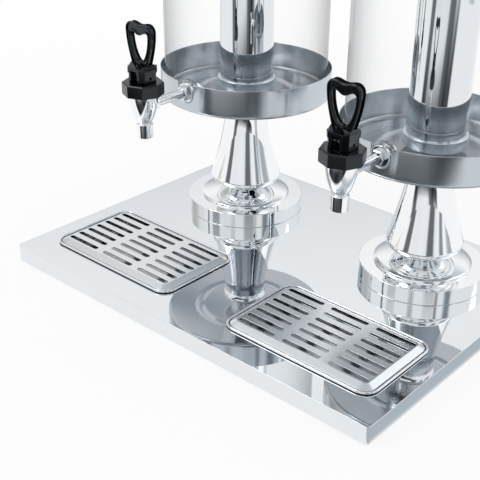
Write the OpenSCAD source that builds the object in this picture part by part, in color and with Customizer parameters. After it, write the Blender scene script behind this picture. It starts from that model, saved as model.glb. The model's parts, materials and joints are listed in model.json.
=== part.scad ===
/* [Base] */
// Width of the base plate along the front
base_w = 500; // [480:5:560]
// Depth of the base plate from front to back
base_d = 368; // [356:2:420]
// Height of the folded skirt round the plate
skirt_h = 19.5; // [18:0.5:26]
// Thickness of the plate's steel sheet
sheet_t = 1.5; // [1:0.1:2]
// Radius of the plate's corners
base_corner_r = 4; // [3:0.5:10]
// Gap between the skirt and the table
floor_gap = 2.5; // [1.5:0.5:6]
// Radius of a rubber foot
foot_r = 12; // [9:0.5:14]
// Distance of a foot's centre from both plate edges
foot_inset = 20; // [18:0.5:24]

/* [Drip pans] */
// Outer width of a drip pan's rim
drip_w = 186; // [176:2:196]
// Outer depth of a drip pan's rim
drip_d = 112; // [100:2:122]
// Radius of the rim's corners
drip_corner_r = 16; // [13:0.5:20]
// Distance from the plate's front edge to the rim, as a share of the plate's depth
drip_front_share = 0.0897; // [0.08:0.0001:0.1]
// Depth of the well below the plate's top face
well_depth = 13; // [8:0.5:14]
// Thickness of the drip pan's steel sheet
drip_t = 1; // [0.8:0.1:1.2]
// Height of the rolled rim above the plate
drip_rim_h = 3.2; // [2.6:0.1:4.4]
// Width of the rolled rim
drip_rim_w = 2.6; // [2:0.1:3]
// Width of the flat flange between the rim and the well
drip_flange = 4.4; // [4:0.1:6]
// Clearance between the well and its cut-out in the plate
drip_clearance = 0.75; // [0.5:0.05:1.2]
// Height of the grille's crown above the plate
grille_h = 5.6; // [4.6:0.1:7]
// Width of the grille's sloping border
grille_bevel = 7; // [5:0.5:8]
// Thickness of the grille
grille_t = 1; // [0.8:0.1:1.4]
// Clearance between the grille and the rolled rim
grille_clearance = 1.2; // [0.8:0.1:2]
// Number of slots side by side
slot_cols = 3; // [2:1:3]
// Number of rows of slots
slot_rows = 7; // [4:1:7]
// Width of the bar between two slots in a row
slot_bar = 10.75; // [8:0.25:14]
// Width of a slot
slot_w = 5; // [4.2:0.1:6]
// Plain strip between the crown's edge and the slots' ends
slot_margin_x = 1.7; // [1:0.1:4]
// Plain strip between the crown's edge and the first row of slots
slot_margin_y = 3.1; // [1:0.1:5]

/* [Towers] */
// Distance between the axes of the two towers, as a share of the plate's width
tower_gap_share = 0.534; // [0.5:0.002:0.56]
// Distance from the plate's back edge to the tower axes, as a share of the plate's depth
tower_back_share = 0.2826; // [0.27:0.0002:0.3]
// Radius of the round foot ring
ring_r = 71.5; // [64:0.5:80]
// Height of the foot ring
ring_h = 17.5; // [12:0.5:22]
// Bevel on the foot ring's edges
ring_bevel = 0.8; // [0.4:0.1:2]
// Radius of the pedestal's bell where it stands on the ring
bell_r = 55; // [46:0.5:60]
// Height of the bell's upright edge
bell_edge_h = 1.5; // [1:0.1:3]
// Height of the bell from its edge to the neck
bell_h = 11.5; // [8:0.5:16]
// Radius of the neck above the bell
neck_r = 19; // [16:0.5:24]
// Radius of the lip at the foot of the trumpet
lip_r = 43; // [36:0.5:48]
// Height of the lip's rounded underside
lip_h = 13.5; // [10:0.5:18]
// Height of the trumpet
trumpet_h = 81; // [70:1:95]
// Radius at the top of the trumpet
trumpet_r = 26; // [22:0.5:30]
// Wall of the spun pedestal
pedestal_t = 2; // [1.5:0.1:3]
// Height of the bulging collar on the trumpet
collar_h = 15; // [10:0.5:20]
// Swell of the collar beyond the trumpet
collar_swell = 3; // [1:0.5:5]
// Radius of the short neck between collar and pan
spigot_r = 18; // [14:0.5:21]
// Height of the short neck between collar and pan
spigot_h = 10; // [6:0.5:14]
// Radius of the tie rod
rod_r = 6; // [5:0.5:8]
// Clearance round the tie rod
rod_clearance = 0.5; // [0.3:0.1:1]
// Height of the nut on the tie rod
nut_h = 8; // [6:0.5:9]

/* [Pans] */
// Outer radius of a pan
pan_r = 102.5; // [98:0.5:106]
// Height of a pan's wall
pan_h = 34; // [30:0.5:40]
// Thickness of a pan's steel sheet
pan_t = 1.2; // [1:0.1:1.6]
// Radius of the bend between floor and wall
pan_bend_r = 4; // [2.5:0.1:4.5]
// Middle radius of the rib pressed into the floor
rib_mid_r = 60; // [50:1:70]
// Width of the pressed rib
rib_w = 13; // [8:1:18]
// Height of the pressed rib
rib_h = 1.8; // [1:0.1:2.4]

/* [Tanks] */
// Height of a clear tank
tank_h = 320; // [260:5:360]
// Wall of a tank
tank_t = 3; // [2.5:0.1:4]
// Gap between tank and pan wall
tank_gap = 4.3; // [4:0.1:6]
// Height of the tank's foot rim
tank_foot_h = 3; // [2.8:0.1:5]
// Width of the tank's foot rim
tank_foot_w = 6; // [4:0.5:10]
// Thickness of the tank's floor
tank_floor_t = 4; // [3:0.1:5]
// Radius of the thick boss round the shank
boss_r = 14; // [12.5:0.5:15]
// Outer radius of the ice tube
tube_r = 32; // [26:0.5:38]
// Wall of the ice tube
tube_t = 1; // [0.8:0.1:1.5]
// Distance from the tank's top edge down to the tube's top
tube_down = 20; // [12:1:40]
// Width of the seat ring round the tube
seat_w = 3; // [2:0.1:5]
// Height of the seat ring
seat_h = 12; // [8:0.5:18]
// Thickness of the lid
lid_t = 1.2; // [1:0.1:1.8]
// Rise of the lid's dome
lid_rise = 20; // [12:1:34]
// Width of the flat flange round the dome
lid_flange_w = 12; // [8:0.5:18]
// Depth of the lid's turned-down lip
lid_lip_h = 6; // [4:0.5:9]
// Clearance between lip and tank
lid_clearance = 1; // [0.6:0.1:2]
// Radius of the ball knob
knob_r = 15; // [11:0.5:18]
// Height of the knob's neck
knob_neck_h = 8; // [5:0.5:12]

/* [Taps] */
// Distance from a tower's axis to its tap's axis
tap_reach = 165; // [156:1:180]
// Height of the shank above the pan's underside
tap_up = 23; // [21.5:0.5:25]
// Outer radius of the shank
shank_r = 5.3; // [4.6:0.1:6]
// Radius of the shank's bore
shank_bore_r = 3.2; // [2.4:0.1:3.6]
// Radius of the round flange washer
washer_r = 11.5; // [9:0.5:12.5]
// Thickness of the flange washer
washer_t = 3.5; // [2:0.1:4]
// Thickness of the silicone gasket
gasket_t = 1.5; // [1:0.1:2]
// Thickness of a shank nut
shank_nut_t = 6; // [4:0.5:8]
// Radius at the top of the goblet-shaped body
body_r = 16; // [15.5:0.1:18]
// Radius at the foot of the goblet
body_foot_r = 7; // [6.5:0.1:8]
// Distance from the shank's axis down to the goblet's foot
body_down = 19; // [17:0.5:23]
// Distance from the shank's axis up to the bonnet
body_up = 14; // [12:0.5:18]
// Outer radius of the spout sleeve
spout_r = 9; // [8:0.1:10]
// Length of the spout sleeve
spout_l = 16; // [13:0.5:24]
// Radius of the eight-sided bonnet, over its corners
bonnet_r = 22.5; // [20:0.5:25]
// Height of the bonnet
bonnet_h = 14; // [12:0.5:18]
// Radius of the valve stem
stem_r = 2.5; // [2:0.1:3]
// Running clearance of the stem and of the lever's pin
guide_clearance = 0.08; // [0.04:0.01:0.1]
// Radius of the lever's pin
pin_r = 1.75; // [1.4:0.05:2]
// Height of the pin above the bonnet
pin_up = 5; // [4.9:0.1:5.6]
// Gap under the lever's rocking base
rock_gap = 0.4; // [0.3:0.1:0.6]
// Width of the lever's block
block_w = 24.5; // [22:0.5:27]
// Depth of the lever's block
block_d = 25; // [22:0.5:26]
// Height of the lever's block
block_h = 16.6; // [15:0.2:20]
// Width of the block's corner cuts
block_cut = 4.6; // [3:0.1:6]
// Outer width of the handle loop
loop_w = 37; // [32:0.5:44]
// Height of the handle loop
loop_h = 43; // [38:0.5:54]
// Thickness of the loop's sides
loop_t = 4.4; // [3.6:0.1:6]
// Thickness of the loop's top bar
loop_top_t = 9.2; // [7:0.1:12]
// Depth of the loop's bar
loop_d = 8.6; // [7:0.1:11]
// Dip in the middle of the loop's top bar
loop_dip = 1.4; // [0:0.1:3]

/* [Hidden] */
$fn = 96;
hull_fn = 32;
// A cut runs this far past the face that it opens
cut = 1;
film = 0.01;
left = -1;
right = 1;

plate_top = floor_gap + skirt_h;
plate_under = plate_top - sheet_t;
tower_gap = base_w*tower_gap_share;
tower_y = base_d/2 - base_d*tower_back_share;
drip_y = -base_d/2 + base_d*drip_front_share + drip_d/2;
drip_edge = drip_rim_w + drip_flange;
well_w = drip_w - 2*drip_edge;
well_d = drip_d - 2*drip_edge;
well_corner_r = drip_corner_r - drip_edge;
grille_w = drip_w - 2*drip_rim_w - 2*grille_clearance;
grille_d = drip_d - 2*drip_rim_w - 2*grille_clearance;
grille_corner_r = drip_corner_r - drip_rim_w - grille_clearance;
crown_w = grille_w - 2*grille_bevel;
crown_d = grille_d - 2*grille_bevel;
crown_corner_share = 0.4;
slot_l = (crown_w - 2*slot_margin_x - (slot_cols - 1)*slot_bar)/slot_cols;
slot_step_x = slot_l + slot_bar;
slot_step_y = (crown_d - 2*slot_margin_y - slot_w)/(slot_rows - 1);

bell_z = ring_h + bell_edge_h;
neck_z = bell_z + bell_h;
lip_z = neck_z + lip_h;
trumpet_z = lip_z + trumpet_h;
collar_z = trumpet_z + collar_h;
pan_z = collar_z + spigot_h;
trumpet_curve = 1.5;
profile_steps = 16;
rod_end = 3;
nut_corner_r = 1.75*rod_r;

pan_in_r = pan_r - pan_t;
tank_r = pan_in_r - tank_gap;
tank_in_r = tank_r - tank_t;
tank_z = pan_z + pan_t;
tank_floor_z = tank_z + tank_foot_h + tank_floor_t;
tank_top = tank_z + tank_h;
lid_r = tank_r + lid_clearance + lid_t;
dome_r = lid_r - lid_flange_w;
knob_neck_share = 0.45;
knob_z = tank_top + lid_t + lid_rise;

boss_out = 1.5;
boss_in = 4;
shank_z = pan_z + tap_up;
notch_clearance = 0.7;
notch_r = washer_r + notch_clearance;
boss_face = tank_r + boss_out;
washer_face = boss_face + gasket_t + washer_t;
inner_face = tank_in_r - boss_in;
inner_nut_t = 5;
shank_tail = 4;
shank_nut_r = 1.62*shank_r;
socket_wall = 2.2;
socket_out = 2;
socket_depth = 6;
socket_r = shank_r + socket_wall;
socket_end = body_r + socket_out;
socket_start = socket_end - socket_depth;

chamber_r = 10;
seat_down = 7;
outlet_r = 4;
spout_wall = 2.8;
nozzle_r = spout_r - spout_wall;
nozzle_l = 10;
neck_step = 1.5;
neck_gap = 0.5;
body_neck_r = body_r - neck_step;
body_curve = 0.8;
bonnet_cap_t = 3;
body_neck_h = bonnet_h - bonnet_cap_t - neck_gap;
bonnet_top = body_up + bonnet_h;
cup_r = 7.5;
cup_h = 10;
cup_gap = 0.1;
cup_grip = 5;
cup_top = -seat_down + cup_gap + cup_h;
spring_r = 5.4;
wire_r = 0.45;
spring_turns = 6;
spring_steps = 12;
spring_sides = 8;
spring_gap = 0.1;
spring_low = cup_top + wire_r;
spring_high = bonnet_top - bonnet_cap_t - wire_r - spring_gap;
pin_z = bonnet_top + pin_up;
eye_r = 4;
eye_w = 8;
slot_side_gap = 0.6;
slot_turn_gap = 1.4;
block_z = bonnet_top + rock_gap;
block_top = block_z + block_h;
cap_band_h = 6.5;
cap_swell = 0.8;
crest_h = 3;
loop_z = block_top + crest_h;
loop_foot_share = 0.56;
loop_foot = loop_w/2*loop_foot_share;
loop_corner = 6;
loop_power = 1;
hole_corner = 2.4;
hole_power = 0.5;
hole_low = 1;
loop_steps = 12;
corner_steps = 4;
window_h = 13;

steel = [0.78, 0.80, 0.82];
mirror_steel = [0.88, 0.90, 0.92];
black_plastic = [0.08, 0.08, 0.09];
clear_plastic = [0.86, 0.93, 0.97, 0.35];
silicone = [0.90, 0.90, 0.88];
rubber = [0.12, 0.12, 0.12];

// Places children in a tower's own frame: its axis is the origin, and its zero height is the plate
module at_tower(side) {
    translate([side*tower_gap/2, tower_y, plate_top]) children();
}

// Places children in a tap's own frame: its axis is the origin, and its zero height is the shank
module at_tap(side) {
    at_tower(side) translate([0, -tap_reach, shank_z]) children();
}

// Rectangle with true round corners
module rounded(w, d, r) {
    square([w - 2*r, d], center = true);
    square([w, d - 2*r], center = true);
    for (sx = [left, right], sy = [left, right])
        translate([sx*(w/2 - r), sy*(d/2 - r)]) circle(r);
}

// Rod along Y from the nearer to the farther distance in front of a tower's axis, at the shank's height
module toward_tap(near, far, r, sides = 96) {
    translate([0, -near, shank_z]) rotate([90, 0, 0]) cylinder(far - near, r = r, $fn = sides);
}

module base_plate() {
    color(mirror_steel) difference() {
        translate([0, 0, floor_gap]) linear_extrude(skirt_h) rounded(base_w, base_d, base_corner_r);
        translate([0, 0, floor_gap - cut]) linear_extrude(skirt_h - sheet_t + cut)
            rounded(base_w - 2*sheet_t, base_d - 2*sheet_t, base_corner_r - sheet_t/2);
        for (side = [left, right]) {
            translate([side*tower_gap/2, drip_y, plate_under - cut]) linear_extrude(sheet_t + 2*cut)
                rounded(well_w + 2*drip_clearance, well_d + 2*drip_clearance, well_corner_r);
            translate([side*tower_gap/2, tower_y, plate_under - cut])
                cylinder(sheet_t + 2*cut, r = rod_r + rod_clearance);
        }
    }
}

module foot(sx, sy) {
    color(rubber) translate([sx*(base_w/2 - foot_inset), sy*(base_d/2 - foot_inset), 0])
        cylinder(plate_under, r = foot_r);
}

module drip_pan(side) {
    color(steel) translate([side*tower_gap/2, drip_y, plate_top]) difference() {
        union() {
            linear_extrude(drip_rim_h) rounded(drip_w, drip_d, drip_corner_r);
            translate([0, 0, -well_depth]) linear_extrude(well_depth + drip_t)
                rounded(well_w, well_d, well_corner_r);
        }
        translate([0, 0, drip_t]) linear_extrude(drip_rim_h)
            rounded(drip_w - 2*drip_rim_w, drip_d - 2*drip_rim_w, drip_corner_r - drip_rim_w);
        translate([0, 0, drip_t - well_depth]) linear_extrude(well_depth + drip_rim_h)
            rounded(well_w - 2*drip_t, well_d - 2*drip_t, well_corner_r - drip_t);
    }
}

// Sloping slab between the grille's outline and its crown
module grille_slab(inset, low, high) {
    hull() {
        translate([0, 0, low]) linear_extrude(film)
            rounded(grille_w - 2*inset, grille_d - 2*inset, grille_corner_r - inset, $fn = hull_fn);
        translate([0, 0, high]) linear_extrude(film)
            rounded(crown_w, crown_d, grille_corner_r*crown_corner_share, $fn = hull_fn);
    }
}

module grille_slot() {
    square([slot_l - slot_w, slot_w], center = true);
    for (end = [left, right])
        translate([end*(slot_l - slot_w)/2, 0]) circle(slot_w/2, $fn = hull_fn);
}

module drip_grille(side) {
    color(steel) translate([side*tower_gap/2, drip_y, plate_top + drip_t]) difference() {
        union() {
            linear_extrude(grille_t) rounded(grille_w, grille_d, grille_corner_r);
            grille_slab(0, grille_t, grille_h - drip_t - film);
        }
        translate([0, 0, -film]) grille_slab(grille_t, 0, grille_h - drip_t - grille_t);
        for (col = [0 : slot_cols - 1], row = [0 : slot_rows - 1])
            translate([(col - (slot_cols - 1)/2)*slot_step_x, (row - (slot_rows - 1)/2)*slot_step_y, -cut])
                linear_extrude(grille_h + 2*cut) grille_slot();
    }
}

module foot_ring(side) {
    color(mirror_steel) at_tower(side) rotate_extrude() polygon([
        [rod_r + rod_clearance, 0], [ring_r - ring_bevel, 0], [ring_r, ring_bevel],
        [ring_r, ring_h - ring_bevel], [ring_r - ring_bevel, ring_h], [rod_r + rod_clearance, ring_h]]);
}

// Outline of the bell, moved inward by t: it falls from the neck to its edge as half a cosine wave
function bell_side(t) = concat(
    [[bell_r - t, ring_h]],
    [for (i = [0 : profile_steps]) let (u = i/profile_steps)
        [neck_r - t + (bell_r - neck_r)*(1 + cos(180*u))/2, bell_z + bell_h*u]]);

// Outline of the pedestal, moved inward by t: the lip's round underside, and a trumpet that
// narrows with the power trumpet_curve of the height still to go
function pedestal_side(t) = concat(
    [for (i = [0 : profile_steps]) let (u = 90*i/profile_steps)
        [neck_r - t + (lip_r - neck_r)*sin(u), neck_z + lip_h*(1 - cos(u))]],
    [for (i = [1 : profile_steps]) let (u = i/profile_steps)
        [trumpet_r - t + (lip_r - trumpet_r)*pow(1 - u, trumpet_curve), lip_z + trumpet_h*u]]);

function backwards(list) = [for (i = [len(list) - 1 : -1 : 0]) list[i]];

module bell(side) {
    color(mirror_steel) at_tower(side) rotate_extrude()
        polygon(concat(bell_side(0), backwards(bell_side(pedestal_t))));
}

module pedestal(side) {
    color(mirror_steel) at_tower(side) rotate_extrude()
        polygon(concat(pedestal_side(0), backwards(pedestal_side(pedestal_t))));
}

module collar(side) {
    color(mirror_steel) at_tower(side) rotate_extrude() polygon(concat(
        [[rod_r + rod_clearance, trumpet_z]],
        [for (i = [0 : profile_steps]) let (u = i/profile_steps)
            [trumpet_r + collar_swell*sin(180*u) - (trumpet_r - spigot_r)*pow(u, 6),
             trumpet_z + collar_h*u]],
        [[spigot_r, pan_z], [rod_r + rod_clearance, pan_z]]));
}

module tie_rod(side) {
    color(steel) at_tower(side) translate([0, 0, -sheet_t - nut_h - rod_end])
        cylinder(pan_z + sheet_t + nut_h + rod_end, r = rod_r);
}

module tie_nut(side) {
    color(steel) at_tower(side) translate([0, 0, -sheet_t - nut_h]) difference() {
        cylinder(nut_h, r = nut_corner_r, $fn = 6);
        translate([0, 0, -cut]) cylinder(nut_h + 2*cut, r = rod_r);
    }
}

// One face of the pan's floor, lifted by t
function pan_floor(t) = let (low = rib_mid_r - rib_w/2, high = rib_mid_r + rib_w/2) [
    [0, t], [low, t], [low + rib_h, rib_h + t], [high - rib_h, rib_h + t], [high, t]];

module pan(side) {
    bend_steps = 6;
    color(steel) at_tower(side) difference() {
        translate([0, 0, pan_z]) rotate_extrude() polygon(concat(
            pan_floor(0),
            [for (i = [0 : bend_steps]) let (u = 90*i/bend_steps)
                [pan_r - pan_bend_r*(1 - sin(u)), pan_bend_r*(1 - cos(u))]],
            [[pan_r, pan_h], [pan_in_r, pan_h]],
            [for (i = [bend_steps : -1 : 0]) let (u = 90*i/bend_steps)
                [pan_r - pan_bend_r + (pan_bend_r - pan_t)*sin(u), pan_bend_r - (pan_bend_r - pan_t)*cos(u)]],
            backwards(pan_floor(pan_t))));
        toward_tap(pan_r/2, pan_r + cut, notch_r);
        translate([-notch_r, -pan_r - cut, shank_z]) cube([2*notch_r, pan_r/2, pan_h]);
    }
}

module tank(side) {
    color(clear_plastic) at_tower(side) difference() {
        union() {
            difference() {
                translate([0, 0, tank_z]) cylinder(tank_h, r = tank_r);
                translate([0, 0, tank_floor_z]) cylinder(tank_h, r = tank_in_r);
                translate([0, 0, tank_z - cut]) cylinder(tank_foot_h + cut, r = tank_r - tank_foot_w);
            }
            toward_tap(inner_face, boss_face, boss_r);
        }
        toward_tap(inner_face - cut, boss_face + cut, shank_r);
    }
}

module tube_seat(side) {
    color(mirror_steel) at_tower(side) translate([0, 0, tank_floor_z]) difference() {
        cylinder(seat_h, r = tube_r + seat_w);
        translate([0, 0, -cut]) cylinder(seat_h + 2*cut, r = tube_r);
    }
}

module ice_tube(side) {
    tube_h = tank_top - tube_down - tank_floor_z;
    color(mirror_steel) at_tower(side) translate([0, 0, tank_floor_z]) difference() {
        cylinder(tube_h, r = tube_r);
        translate([0, 0, tube_t]) cylinder(tube_h, r = tube_r - tube_t);
    }
}

// Dome of the lid, lifted by t: it falls with the square of the radius
function lid_dome(t) = [for (i = [0 : profile_steps]) let (u = i/profile_steps)
    [dome_r*u, t + lid_rise*(1 - u*u)]];

module lid(side) {
    color(steel) at_tower(side) translate([0, 0, tank_top]) rotate_extrude() polygon(concat(
        lid_dome(lid_t),
        [[lid_r, lid_t], [lid_r, -lid_lip_h], [lid_r - lid_t, -lid_lip_h], [lid_r - lid_t, 0]],
        backwards(lid_dome(0))));
}

module lid_knob(side) {
    color(black_plastic) at_tower(side) translate([0, 0, knob_z]) difference() {
        union() {
            translate([0, 0, -knob_neck_h/2]) cylinder(knob_neck_h*1.5, r = knob_r*knob_neck_share);
            translate([0, 0, knob_neck_h + knob_r/2]) sphere(knob_r);
        }
        translate([0, 0, -lid_rise - lid_t]) cylinder(lid_rise + lid_t, r = lid_r);
    }
}

module tap_shank(side) {
    start = inner_face - inner_nut_t - shank_tail;
    finish = tap_reach - socket_start;
    color(mirror_steel) at_tower(side) difference() {
        toward_tap(start, finish, shank_r);
        toward_tap(start - cut, finish + cut, shank_bore_r);
    }
}

module tap_gasket(side) {
    color(silicone) at_tower(side) difference() {
        toward_tap(boss_face, boss_face + gasket_t, washer_r - gasket_t/2);
        toward_tap(boss_face - cut, boss_face + gasket_t + cut, shank_r);
    }
}

module tap_washer(side) {
    color(mirror_steel) at_tower(side) difference() {
        toward_tap(boss_face + gasket_t, washer_face, washer_r);
        toward_tap(boss_face, washer_face + cut, shank_r);
    }
}

module outer_nut(side) {
    color(mirror_steel) at_tower(side) difference() {
        toward_tap(washer_face, washer_face + shank_nut_t, shank_nut_r, 6);
        toward_tap(washer_face - cut, washer_face + shank_nut_t + cut, shank_r);
    }
}

module inner_nut(side) {
    color(steel) at_tower(side) difference() {
        toward_tap(inner_face - inner_nut_t, inner_face, shank_nut_r, 6);
        toward_tap(inner_face - inner_nut_t - cut, inner_face + cut, shank_r);
    }
}

// Side of the goblet: it widens with a power of the sine of the height
function goblet_side() = [for (i = [0 : profile_steps]) let (u = i/profile_steps)
    [body_foot_r + (body_r - body_foot_r)*pow(sin(90*u), body_curve),
     -body_down + (body_down + body_up)*u]];

module tap_body(side) {
    color(mirror_steel) at_tap(side) difference() {
        union() {
            rotate_extrude() polygon(concat(
                [[0, -body_down - nozzle_l], [nozzle_r, -body_down - nozzle_l], [nozzle_r, -body_down]],
                goblet_side(),
                [[body_neck_r, body_up], [body_neck_r, body_up + body_neck_h],
                 [0, body_up + body_neck_h]]));
            rotate([-90, 0, 0]) cylinder(socket_end, r = socket_r);
        }
        translate([0, 0, -seat_down]) cylinder(body_up + body_neck_h + seat_down + cut, r = chamber_r);
        translate([0, 0, -body_down - nozzle_l - cut]) cylinder(body_down + nozzle_l, r = outlet_r);
        rotate([-90, 0, 0]) cylinder(socket_end, r = shank_bore_r);
        translate([0, socket_start, 0]) rotate([-90, 0, 0]) cylinder(socket_end, r = shank_r);
    }
}

module tap_spout(side) {
    color(mirror_steel) at_tap(side) translate([0, 0, -body_down - spout_l]) difference() {
        cylinder(spout_l, r = spout_r);
        translate([0, 0, -cut]) cylinder(spout_l + 2*cut, r = nozzle_r);
    }
}

module tap_bonnet(side) {
    color(black_plastic) at_tap(side) translate([0, 0, body_up]) difference() {
        cylinder(bonnet_h, r = bonnet_r, $fn = 8);
        translate([0, 0, -cut]) cylinder(bonnet_h - bonnet_cap_t + cut, r = body_neck_r);
        cylinder(bonnet_h + cut, r = stem_r + guide_clearance);
    }
}

module valve_stem(side) {
    stem_low = -seat_down + cup_gap + cup_grip;
    color(steel) at_tap(side) difference() {
        union() {
            translate([0, 0, stem_low]) cylinder(pin_z - stem_low, r = stem_r);
            translate([-eye_w/2, 0, pin_z]) rotate([0, 90, 0]) cylinder(eye_w, r = eye_r);
        }
        translate([-eye_w, 0, pin_z]) rotate([0, 90, 0]) cylinder(2*eye_w, r = pin_r + guide_clearance);
    }
}

module seat_cup(side) {
    color(silicone) at_tap(side) translate([0, 0, -seat_down + cup_gap]) difference() {
        rotate_extrude() polygon([[0, 0], [cup_r*0.8, 0], [cup_r, cup_r*0.2], [cup_r, cup_h], [0, cup_h]]);
        translate([0, 0, cup_grip]) cylinder(cup_h, r = stem_r);
    }
}

// One ring of the spring's wire, square to its turn
function wire_ring(i) = let (turn = 360*i/spring_steps,
        z = spring_low + (spring_high - spring_low)*i/(spring_steps*spring_turns))
    [for (k = [0 : spring_sides - 1]) let (around = 360*k/spring_sides, r = spring_r + wire_r*cos(around))
        [r*cos(turn), r*sin(turn), z + wire_r*sin(around)]];

module valve_spring(side) {
    rings = spring_steps*spring_turns;
    color(steel) at_tap(side) polyhedron(
        points = [for (i = [0 : rings]) each wire_ring(i)],
        faces = concat(
            [[for (k = [0 : spring_sides - 1]) k]],
            [for (i = [0 : rings - 1], k = [0 : spring_sides - 1]) let (next = (k + 1)%spring_sides)
                [i*spring_sides + k, (i + 1)*spring_sides + k, (i + 1)*spring_sides + next,
                 i*spring_sides + next]],
            [[for (k = [spring_sides - 1 : -1 : 0]) rings*spring_sides + k]]));
}

// Plan of the lever's block: a rectangle with its corners cut
module block_plan(grow) {
    w = block_w/2 + grow;
    d = block_d/2 + grow;
    polygon([[w - block_cut, -d], [w, -d + block_cut], [w, d - block_cut], [w - block_cut, d],
        [block_cut - w, d], [-w, d - block_cut], [-w, -d + block_cut], [block_cut - w, -d]]);
}

// Right half of an upright outline: its width grows with a power of the sine of the height, up to
// a rounded corner
function half_outline(foot, half, low, high, corner, power) = concat(
    [for (i = [0 : loop_steps]) [foot + (half - foot)*pow(sin(90*i/loop_steps), power),
        low + (high - corner - low)*i/loop_steps]],
    [for (i = [1 : corner_steps]) let (turn = 90*i/corner_steps)
        [half - corner*(1 - cos(turn)), high - corner*(1 - sin(turn))]]);

// A half outline, its top lowered in the middle by the dip, and its mirror image
module full_outline(points, dip) {
    last = len(points) - 1;
    polygon(concat(points, [[0, points[last][1] - dip]],
        [for (i = [last : -1 : 0]) [-points[i][0], points[i][1]]]));
}

module handle_loop() {
    hole_top = loop_h - loop_top_t;
    difference() {
        full_outline(half_outline(loop_foot, loop_w/2, 0, loop_h, loop_corner, loop_power), loop_dip);
        full_outline(half_outline(0, loop_w/2 - loop_t, hole_low, hole_top, hole_corner, hole_power),
            2*loop_dip);
    }
}

module lever(side) {
    color(black_plastic) at_tap(side) difference() {
        union() {
            translate([0, 0, block_z]) linear_extrude(block_h) block_plan(0);
            translate([0, 0, block_top - cap_band_h]) linear_extrude(cap_band_h) block_plan(cap_swell);
            hull() {
                translate([0, 0, block_top - film]) linear_extrude(film) block_plan(0);
                translate([-loop_foot, -loop_d/2, loop_z]) cube([2*loop_foot, loop_d, film]);
            }
            translate([0, loop_d/2, loop_z]) rotate([90, 0, 0]) linear_extrude(loop_d) handle_loop();
        }
        translate([-eye_w/2 - slot_side_gap, -block_d, block_z - cut])
            cube([eye_w + 2*slot_side_gap, block_d + eye_r + slot_turn_gap, window_h + cut]);
        translate([-block_w, 0, pin_z]) rotate([0, 90, 0]) cylinder(2*block_w, r = pin_r);
    }
}

module lever_pin(side) {
    color(steel) at_tap(side) translate([-block_w/2, 0, pin_z]) rotate([0, 90, 0])
        cylinder(block_w, r = pin_r);
}

base_plate();
foot(left, left);  // foot_front_left
foot(right, left);  // foot_front_right
foot(left, right);  // foot_back_left
foot(right, right);  // foot_back_right
drip_pan(left);  // left_drip_pan
drip_pan(right);  // right_drip_pan
drip_grille(left);  // left_drip_grille
drip_grille(right);  // right_drip_grille
foot_ring(left);  // left_foot_ring
foot_ring(right);  // right_foot_ring
bell(left);  // left_bell
bell(right);  // right_bell
pedestal(left);  // left_pedestal
pedestal(right);  // right_pedestal
collar(left);  // left_collar
collar(right);  // right_collar
tie_rod(left);  // left_tie_rod
tie_rod(right);  // right_tie_rod
tie_nut(left);  // left_tie_nut
tie_nut(right);  // right_tie_nut
pan(left);  // left_pan
pan(right);  // right_pan
tank(left);  // left_tank
tank(right);  // right_tank
tube_seat(left);  // left_tube_seat
tube_seat(right);  // right_tube_seat
ice_tube(left);  // left_ice_tube
ice_tube(right);  // right_ice_tube
lid(left);  // left_lid
lid(right);  // right_lid
lid_knob(left);  // left_lid_knob
lid_knob(right);  // right_lid_knob
tap_shank(left);  // left_tap_shank
tap_shank(right);  // right_tap_shank
tap_gasket(left);  // left_tap_gasket
tap_gasket(right);  // right_tap_gasket
tap_washer(left);  // left_tap_washer
tap_washer(right);  // right_tap_washer
outer_nut(left);  // left_outer_nut
outer_nut(right);  // right_outer_nut
inner_nut(left);  // left_inner_nut
inner_nut(right);  // right_inner_nut
tap_body(left);  // left_tap_body
tap_body(right);  // right_tap_body
tap_spout(left);  // left_tap_spout
tap_spout(right);  // right_tap_spout
tap_bonnet(left);  // left_tap_bonnet
tap_bonnet(right);  // right_tap_bonnet
valve_stem(left);  // left_valve_stem
valve_stem(right);  // right_valve_stem
seat_cup(left);  // left_seat_cup
seat_cup(right);  // right_seat_cup
valve_spring(left);  // left_valve_spring
valve_spring(right);  // right_valve_spring
lever(left);  // left_lever
lever(right);  // right_lever
lever_pin(left);  // left_lever_pin
lever_pin(right);  // right_lever_pin
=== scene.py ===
import json
import math

import bmesh
import bpy
import numpy as np
from mathutils import Matrix, Vector


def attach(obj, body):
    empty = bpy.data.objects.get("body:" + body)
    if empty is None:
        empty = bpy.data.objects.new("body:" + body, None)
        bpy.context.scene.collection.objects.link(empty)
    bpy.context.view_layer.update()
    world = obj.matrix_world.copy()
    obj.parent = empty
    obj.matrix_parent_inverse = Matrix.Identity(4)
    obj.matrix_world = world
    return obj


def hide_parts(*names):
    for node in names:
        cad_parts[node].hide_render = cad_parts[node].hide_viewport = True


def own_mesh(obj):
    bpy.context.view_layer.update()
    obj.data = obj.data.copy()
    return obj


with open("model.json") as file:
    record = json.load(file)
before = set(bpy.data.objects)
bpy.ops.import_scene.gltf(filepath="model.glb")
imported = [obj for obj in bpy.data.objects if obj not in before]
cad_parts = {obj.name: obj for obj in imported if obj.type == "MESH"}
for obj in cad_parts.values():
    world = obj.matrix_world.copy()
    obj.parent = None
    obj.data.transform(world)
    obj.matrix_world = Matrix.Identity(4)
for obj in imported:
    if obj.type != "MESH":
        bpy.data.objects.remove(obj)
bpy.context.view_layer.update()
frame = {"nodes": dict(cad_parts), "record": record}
scene = bpy.context.scene
scene.view_settings.view_transform = "Standard"
print("frame loaded:", len(frame["nodes"]), "nodes")

mm = 0.001
sides = {"left": -1, "right": 1}
towerX, towerY, plateTop = 133.5*mm, 80.0*mm, 22.0*mm
white = (1.0, 1.0, 1.0, 1.0)

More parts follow.
